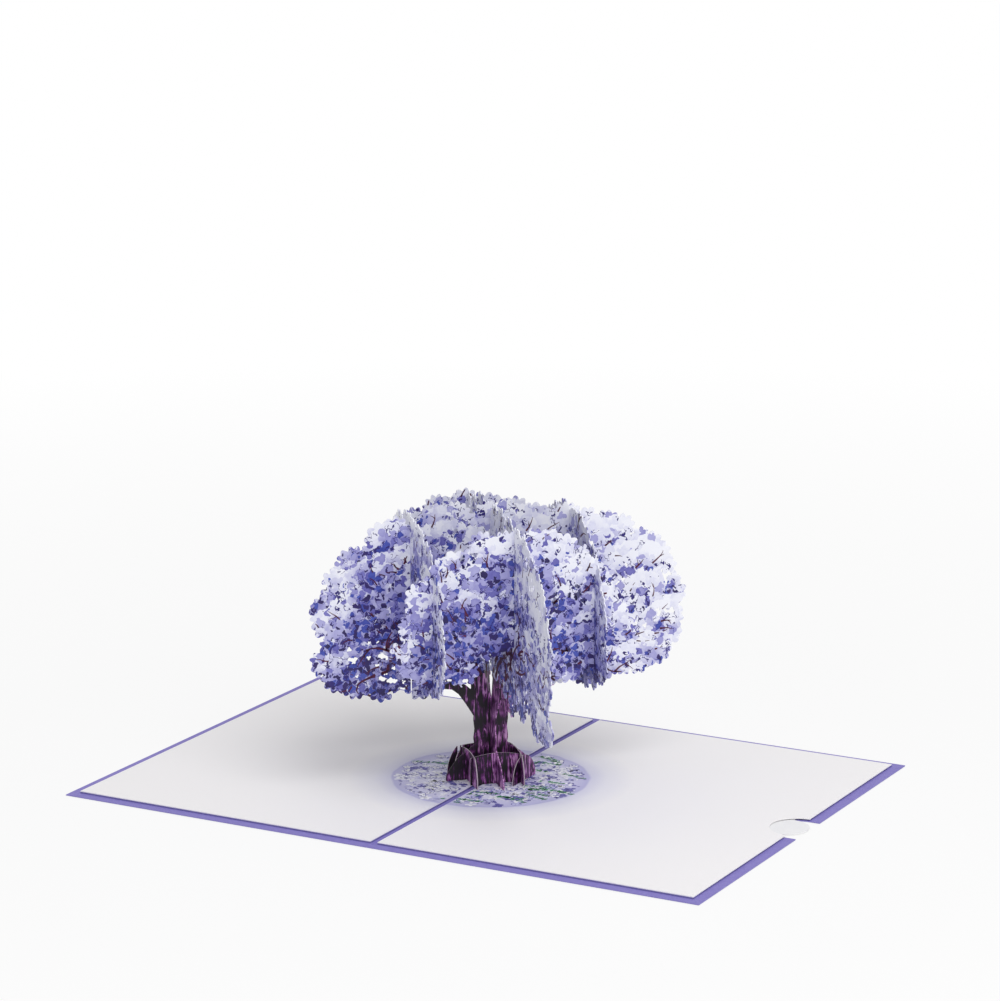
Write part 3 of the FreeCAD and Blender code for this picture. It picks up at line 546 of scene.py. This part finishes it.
def cut_out(where, loops, face, edge):
    """Card with these outlines, printed on its two faces and bare along its cut edge."""
    curve = bpy.data.curves.new(where.node + "_outline", "CURVE")
    curve.dimensions = "2D"
    curve.fill_mode = "BOTH"
    curve.extrude = CARD / 2
    for loop in loops:
        spline = curve.splines.new("POLY")
        spline.points.add(len(loop) - 1)
        for spot, (s, z) in zip(spline.points, loop):
            spot.co = (s, z, 0, 1)
        spline.use_cyclic_u = True
    holder = bpy.data.objects.new(where.node + "_outline", curve)
    mesh = bpy.data.meshes.new_from_object(holder)
    bpy.data.objects.remove(holder)
    work = bmesh.new()
    work.from_mesh(mesh)
    bmesh.ops.remove_doubles(work, verts=work.verts, dist=1e-4)
    bmesh.ops.recalc_face_normals(work, faces=work.faces)
    for part in work.faces:
        part.material_index = 0 if abs(part.normal.z) > 0.5 else 1
        part.smooth = False
    for vert in work.verts:
        s, z, out = vert.co
        vert.co = where.point(s, z, out) * MM
    bmesh.ops.recalc_face_normals(work, faces=work.faces)
    work.to_mesh(mesh)
    work.free()
    mesh.name = where.node + "_card"
    mesh.materials.clear()
    mesh.materials.append(face)
    mesh.materials.append(edge)
    piece = bpy.data.objects.new(where.node + "_card", mesh)
    scene.collection.objects.link(piece)
    return piece


# The laser leaves the card's cut edge bare: pale, dull, and tinted by a trace of scorch
cut_edge, tree, shader, place = new_material("laser_cut_edge", 0.85, 1.45)
scorch = add(tree, "TexNoise", None, place, 1 / 2.5, 2.0)
bare = add(tree, "Mix", {"data_type": "RGBA"}, scorch, srgb("#CFC6CF"), srgb("#EDE8EE"))
tree.links.new(bare.outputs[2], shader.inputs["Base Color"])


BUNCH = 11.0
# Size in millimetres, share of the card covered, its rise with shade, pale and deep colour
PETALS = ((3.8, 0.5, 1.0, "#B9B8E2", "#8D8AC8"), (3.1, 0.34, 1.0, "#8482C6", "#5A56A8"),
          (2.6, 0.2, 0.9, "#5563BE", "#2E3894"), (2.1, 0.16, 0.9, "#3A2C72", "#1F1648"))


def along_slice(tree, place, turn, seed):
    """Place on a turned slice as (s, z), in millimetres; the seed moves the print along."""
    turned = add(tree, "VectorRotate", {"rotation_type": "Z_AXIS"}, place, Angle=math.radians(-turn))
    parts = add(tree, "SeparateXYZ", None, turned)
    moved = add(tree, "Math", {"operation": "ADD"}, parts.outputs[0], 190.0 * seed)
    return parts.outputs[0], parts.outputs[2], add(tree, "CombineXYZ", None, moved, parts.outputs[2])


def blossom_print(tree, s, z, flat, half, top, busy, fade):
    """Watercolour blossom in bunches: palest round the crown's top and on top of each bunch, with
    more and darker petals lower down, dark gaps between them and a few squiggles of the brush."""
    drift = add(tree, "TexNoise", {"noise_dimensions": "2D"}, flat, 1 / 2.4, 2.0)
    drift = add(tree, "VectorMath", {"operation": "SUBTRACT"}, drift.outputs[1], (0.5, 0.5, 0.5))
    warped = add(tree, "VectorMath", {"operation": "MULTIPLY_ADD"}, drift, (3.6, 3.6, 0), flat)
    bunch = add(tree, "TexVoronoi", {"voronoi_dimensions": "2D"}, warped, 1 / BUNCH)
    within = add(tree, "VectorMath", {"operation": "SUBTRACT"}, warped, bunch.outputs["Position"])
    low = add(tree, "SeparateXYZ", None, within)
    low = add(tree, "MapRange", None, low.outputs[1], -0.45 * BUNCH, 0.5 * BUNCH, 0.14, -0.18)
    region = add(tree, "TexNoise", {"noise_dimensions": "2D"}, flat, 1 / 14.0, 2.0)
    region = add(tree, "MapRange", None, region, 0.3, 0.7, -0.16, 0.16)
    high = add(tree, "MapRange", None, z, 45.0, top, 0.16, -0.06)
    out_s = add(tree, "Math", {"operation": "DIVIDE"}, s, half)
    out_z = add(tree, "MapRange", None, z, CROWN_MIDDLE - 12.0, top, 0.0, 1.0)
    rim = add(tree, "VectorMath", {"operation": "LENGTH"}, add(tree, "CombineXYZ", None, out_s, out_z))
    rim = add(tree, "MapRange", None, rim.outputs["Value"], 0.62, 1.0, 0.04, -0.25)
    side = add(tree, "MapRange", None, s, -70.0, 70.0, fade, -fade)
    shade = add(tree, "Math", {"operation": "ADD"}, low, region)
    shade = add(tree, "Math", {"operation": "ADD"}, shade, high)
    shade = add(tree, "Math", {"operation": "ADD"}, shade, rim)
    shade = add(tree, "Math", {"operation": "ADD"}, shade, side)
    shade = add(tree, "Math", {"operation": "ADD"}, shade, busy)
    wash = add(tree, "TexVoronoi", {"voronoi_dimensions": "2D"}, warped, 1 / 3.0)
    tone = add(tree, "SeparateColor", None, wash.outputs["Color"])
    tone = add(tree, "Math", {"operation": "MULTIPLY_ADD"}, tone, 0.42, shade)
    cloud = add(tree, "TexNoise", {"noise_dimensions": "2D"}, flat, 1 / 3.0, 3.0, 0.6)
    tone = add(tree, "Math", {"operation": "MULTIPLY_ADD"}, cloud, 0.3, tone)
    base = add(tree, "ValToRGB", None, tone)
    base.color_ramp.elements[0].color = srgb("#F5F6FD")
    base.color_ramp.elements[1].position = 0.98
    base.color_ramp.elements[1].color = srgb("#6F6CB0")
    for at, code in ((0.16, "#EEEFFA"), (0.24, "#E2E3F4"), (0.3, "#E9EAF8"), (0.46, "#CFCFEA"),
                     (0.6, "#B5B4DE"), (0.76, "#9794CC")):
        base.color_ramp.elements.new(at).color = srgb(code)
    colour = base
    for size, cover, gain, pale, deep in PETALS:
        shift = add(tree, "VectorMath", {"operation": "ADD"}, warped, (size * 31, size * 17, 0))
        cells = add(tree, "TexVoronoi", {"voronoi_dimensions": "2D"}, shift, 1 / size)
        luck = add(tree, "SeparateColor", None, cells.outputs["Color"])
        some = add(tree, "Math", {"operation": "MULTIPLY_ADD"}, shade, gain, cover)
        spread = add(tree, "Math", {"operation": "SUBTRACT"}, some, luck.outputs[0])
        spread = add(tree, "MapRange", None, spread, 0.0, 0.3, 0.0, 0.55)
        petal_here = add(tree, "Math", {"operation": "LESS_THAN"}, cells.outputs["Distance"], spread)
        pooled = add(tree, "Math", {"operation": "MULTIPLY_ADD"}, cells.outputs["Distance"], 1.1,
                     luck.outputs[1])
        pooled = add(tree, "Math", {"operation": "MULTIPLY"}, pooled, 0.65)
        ink = add(tree, "Mix", {"data_type": "RGBA"}, pooled, srgb(pale), srgb(deep))
        colour = add(tree, "Mix", {"data_type": "RGBA"}, petal_here, colour, ink)
    brush = add(tree, "TexNoise", {"noise_dimensions": "2D"}, warped, 1 / 3.0, 1.0)
    brush = add(tree, "Math", {"operation": "COMPARE"}, brush, 0.5, 0.03)
    gate = add(tree, "TexNoise", {"noise_dimensions": "2D"}, flat, 1 / 4.0, 0.0)
    gate = add(tree, "Math", {"operation": "MULTIPLY_ADD"}, shade, 0.4, gate)
    gate = add(tree, "Math", {"operation": "GREATER_THAN"}, gate, 0.56)
    brush = add(tree, "Math", {"operation": "MULTIPLY"}, brush, gate)
    return add(tree, "Mix", {"data_type": "RGBA"}, brush, colour, srgb("#2E2470"))


def bark_print(tree, s, flat):
    """Watercolour bark: upright streaks of near-black plum and dusty rose, rosier to the right."""
    squeezed = add(tree, "VectorMath", {"operation": "MULTIPLY"}, flat, (1.0, 0.09, 1.0))
    streak = add(tree, "TexNoise", {"noise_dimensions": "2D"}, squeezed, 1 / 0.9, 4.0, 0.75,
                 Distortion=0.7)
    patch = add(tree, "TexNoise", {"noise_dimensions": "2D"}, flat, 1 / 5.0, 2.0)
    tone = add(tree, "Math", {"operation": "MULTIPLY_ADD"}, patch, 0.45, streak)
    tone = add(tree, "Math", {"operation": "MULTIPLY_ADD"}, s, 0.006, tone)
    ramp = add(tree, "ValToRGB", None, add(tree, "MapRange", None, tone, 0.615, 0.88))
    ramp.color_ramp.elements[0].color = srgb("#0B020D")
    ramp.color_ramp.elements[1].color = srgb("#D39CD2")
    for at, code in ((0.3, "#1C0322"), (0.48, "#3C0A42"), (0.62, "#641F69"), (0.78, "#944D9A")):
        ramp.color_ramp.elements.new(at).color = srgb(code)
    return ramp


def printed_card(name, where, seed, busy, fade, with_bark):
    """Smooth coated card: satin, with the blossom on it, and bark below where asked."""
    material, tree, shader, place = new_material(name, 0.52, 1.47)
    s, z, flat = along_slice(tree, place, 45 * where.family, seed)
    half = (where.right - where.left) / 2
    colour = blossom_print(tree, s, z, flat, half, where.top, busy, fade)
    if with_bark:
        wave = add(tree, "TexNoise", {"noise_dimensions": "2D"}, flat, 1 / 2.5, 2.0)
        height = add(tree, "Math", {"operation": "MULTIPLY_ADD"}, wave, 6.0, z)
        bend = add(tree, "Math", {"operation": "MULTIPLY"}, s, s)
        height = add(tree, "Math", {"operation": "MULTIPLY_ADD"}, bend, 0.0118, height)
        under = add(tree, "Math", {"operation": "LESS_THAN"}, height, 43.0 + SHEET_TOP)
        colour = add(tree, "Mix", {"data_type": "RGBA"}, under, colour, bark_print(tree, s, flat))
    tree.links.new(colour.outputs[2], shader.inputs["Base Color"])
    paper_grain(tree, shader, place, 0.4, 0.01)
    return material


# Twigs and limbs are printed in the bark's colours, over the blossom
twig_ink = printing_ink("twig_ink", "#64203F", "#2C0D2A", 1.0)


def brush_stroke(where, path, widths, side):
    """Tapering stroke along points of one face of the slice."""
    out = side * (CARD / 2 + INK_GAP)
    edges = []
    for i, (s, z) in enumerate(path):
        before, after = path[max(i - 1, 0)], path[min(i + 1, len(path) - 1)]
        length = math.dist(before, after)
        across = (after[1] - before[1]) / length * widths[i] / 2
        up = -(after[0] - before[0]) / length * widths[i] / 2
        edges.append(((s + across, z + up), (s - across, z - up)))
    shapes = []
    for (a, b), (c, d) in zip(edges, edges[1:]):
        ring = [a, c, d, b] if side * where.family > 0 else [a, b, d, c]
        shapes.append([where.point(s, z, out) for s, z in ring])
    return shapes


def grow(luck, start, lean, length, width, forks):
    """A crooked twig and its side shoots, each as a path with its widths."""
    count = max(3, round(length / 2.5))
    path = [start]
    turn = lean
    for i in range(count):
        turn += luck.uniform(-0.38, 0.38)
        s, z = path[-1]
        path.append((s + length / count * math.cos(turn), z + length / count * math.sin(turn)))
    grown = [(path, [width * (1 - 0.75 * i / count) for i in range(count + 1)])]
    for i in range(forks):
        knot = luck.randrange(1, count)
        side = lean + luck.choice((-1, 1)) * luck.uniform(0.5, 1.1)
        grown += grow(luck, path[knot], side, length * luck.uniform(0.35, 0.6), width * 0.6, forks - 1)
    return grown


def printed_twigs(where, luck, twigs, limbs, is_card):
    """Twigs scattered over both faces, leaning out from the fork, and the trunk's limbs."""
    shapes = []
    for side in (1, -1):
        grown = []
        for i in range(limbs):
            start = (luck.choice((-1, 1)) * luck.uniform(3, 17), luck.uniform(37, 42))
            lean = math.atan2(luck.uniform(12, 50), start[0] * luck.uniform(1.5, 4))
            grown += grow(luck, start, lean, luck.uniform(24, 42), luck.uniform(1.5, 2.6), 3)
        for i in range(twigs):
            turn = luck.uniform(-0.45, math.pi + 0.45)
            out = math.sqrt(luck.uniform(0.04, 0.85))
            s = (where.right if math.cos(turn) > 0 else -where.left) * out * math.cos(turn)
            z = CROWN_MIDDLE + (where.top - CROWN_MIDDLE) * out * math.sin(turn)
            lean = math.atan2(z - 38, s) + luck.uniform(-0.7, 0.7)
            grown += grow(luck, (s, z), lean, luck.uniform(2.5, 6.5), luck.uniform(0.5, 0.85),
                          luck.choice((0, 1, 1)))
        for path, widths in grown:
            for start in range(0, len(path) - 1):
                run = path[start:start + 2]
                hidden = luck.random() < 0.16
                if not hidden and all(is_card(p) for p in run):
                    shapes += brush_stroke(where, run, widths[start:start + 2], side)
    return shapes


MAIN_BOTTOM = 32.0
# Half width and rise of the arch over the fork: in a full-height slice, and in a short one that
# runs across the card or along it
MAIN_ARCH = (26.0, 8.0)
ACROSS_ARCH = (17.0, 13.0)
ALONG_ARCH = (17.0, 4.0)
ROOT_PITCH_ALONG = 8.9
ROOT_PITCH_ACROSS = 7.3


def tree_slice(node, family, seed, main, busy, fade):
    """One slice of the tree: cut out, printed, and standing for the plain solid."""
    where = Slice(node, family)
    luck = random.Random(seed)
    s_line = CELL * np.arange(math.floor(where.left / CELL) - 3, math.ceil(where.right / CELL) + 4)
    z_line = CELL * np.arange(math.floor(where.bottom / CELL) - 3, math.ceil(where.top / CELL) + 4)
    s, z = np.meshgrid(s_line, z_line)
    bottom = MAIN_BOTTOM if main else where.bottom + LOBE
    arch_half, rise = MAIN_ARCH if main else ACROSS_ARCH if family > 0 else ALONG_ARCH
    rim = crown_rim(where.left + LOBE, where.right - LOBE, where.top - LOBE, bottom, arch_half,
                    rise, 2.4 if main else 2.0)
    gaps = 60 if main else 30
    if family > 0:
        field = foliage(s, z, rim, luck, gaps, 6.4, ROUND_BUNCHES)
    else:
        field = foliage(s, z, rim, luck, gaps, 7.0, RAGGED_BUNCHES)
    if main and family < 0:
        # This slice hangs lowest at its near end, in a row of small bunches
        for share in (0.0, 0.3, 0.6, 0.85, 1.0):
            tail = rosette(s, z, 57 + 15 * share, 34.8 + 2.5 * share ** 3, 4.6, 5, 1.5, 9 * share)
            field = np.maximum(field, tail)
    if main:
        field = np.maximum(field, trunk(s, z))
    slots = [(place, CROWN_SLOT_LEVEL, family > 0) for place in (-CROWN_PITCH, CROWN_PITCH)]
    slots.append((0.0, CENTRE_SLOT_LEVEL if main else CROWN_SLOT_LEVEL, family > 0))
    if main:
        root_pitch = ROOT_PITCH_ALONG if family > 0 else ROOT_PITCH_ACROSS
        slots += [(place, ROOT_SLOT_LEVEL, True) for place in (-root_pitch, root_pitch)]
    for place, level, from_below in slots:
        beyond = z - level if from_below else level - z
        field = np.minimum(field, np.maximum(np.abs(s - place) - SLOT_HALF, beyond))
    loops = [without_straights(loop) for loop in trace(field, s_line, z_line)]
    loops = [loop for loop in loops if len(loop) > 3 and ring_area(loop) > 0.2]
    body = max(loops, key=ring_area)
    holes = [loop for loop in loops if loop is not body and encloses(body, loop[0])]
    holes = [hole for hole in holes
             if not any(encloses(other, hole[0]) for other in holes if other is not hole)]
    face = printed_card(node + "_print", where, seed, busy, fade, main)
    piece = cut_out(where, [body] + holes, face, cut_edge)
    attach(piece, "card")
    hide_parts(node)

    def is_card(spot):
        column = round(spot[0] / CELL - s_line[0] / CELL)
        row = round(spot[1] / CELL - z_line[0] / CELL)
        on_grid = 0 <= row < len(z_line) and 0 <= column < len(s_line)
        crossing = min(abs(spot[0] - place) for place in (-CROWN_PITCH, 0.0, CROWN_PITCH))
        return on_grid and field[row, column] > 0.4 and crossing > 0.7

    shapes = printed_twigs(where, luck, 80 if main else 44, 11 if main else 0, is_card)
    printed_shapes(node + "_twigs", [(ring, 0) for ring in shapes], [twig_ink])


tree_slice("main_slice_across", 1, 3, True, 0.13, 0.13)
tree_slice("main_slice_along", -1, 4, True, 0.06, 0.0)
tree_slice("crown_slice_front", 1, 5, False, 0.14, 0.05)
tree_slice("crown_slice_back", 1, 6, False, 0.1, 0.08)
tree_slice("crown_slice_left", -1, 7, False, 0.1, 0.0)
tree_slice("crown_slice_right", -1, 8, False, 0.1, 0.0)


# Root slices and anchor lobes: small walls of the same card round the trunk's foot, printed with
# bark on both sides. The lobes' tabs pass through the lining sheets and are glued down below.
def bark_card(name, turn, seed):
    """Coated card with bark on its two faces; the cut edges between them stay bare and pale."""
    material, tree, shader, place = new_material(name, 0.52, 1.47)
    s, z, flat = along_slice(tree, place, turn, seed)
    facing = add(tree, "NewGeometry").outputs["True Normal"]
    across = (-math.sin(math.radians(turn)), math.cos(math.radians(turn)), 0)
    level = add(tree, "VectorMath", {"operation": "DOT_PRODUCT"}, facing, across).outputs["Value"]
    level = add(tree, "Math", {"operation": "ABSOLUTE"}, level)
    edge = add(tree, "Math", {"operation": "LESS_THAN"}, level, 0.7)
    colour = add(tree, "Mix", {"data_type": "RGBA"}, edge, bark_print(tree, s, flat), srgb("#B5A5B0"))
    tree.links.new(colour.outputs[2], shader.inputs["Base Color"])
    paper_grain(tree, shader, place, 0.4, 0.01)
    return material


for seed, (name, turn) in enumerate((("root_slice_front", 45), ("root_slice_back", 45),
                                     ("root_slice_left", -45), ("root_slice_right", -45),
                                     ("anchor_lobe_left", 90), ("anchor_lobe_right", 90))):
    dress(name, bark_card(name + "_bark", turn, seed))
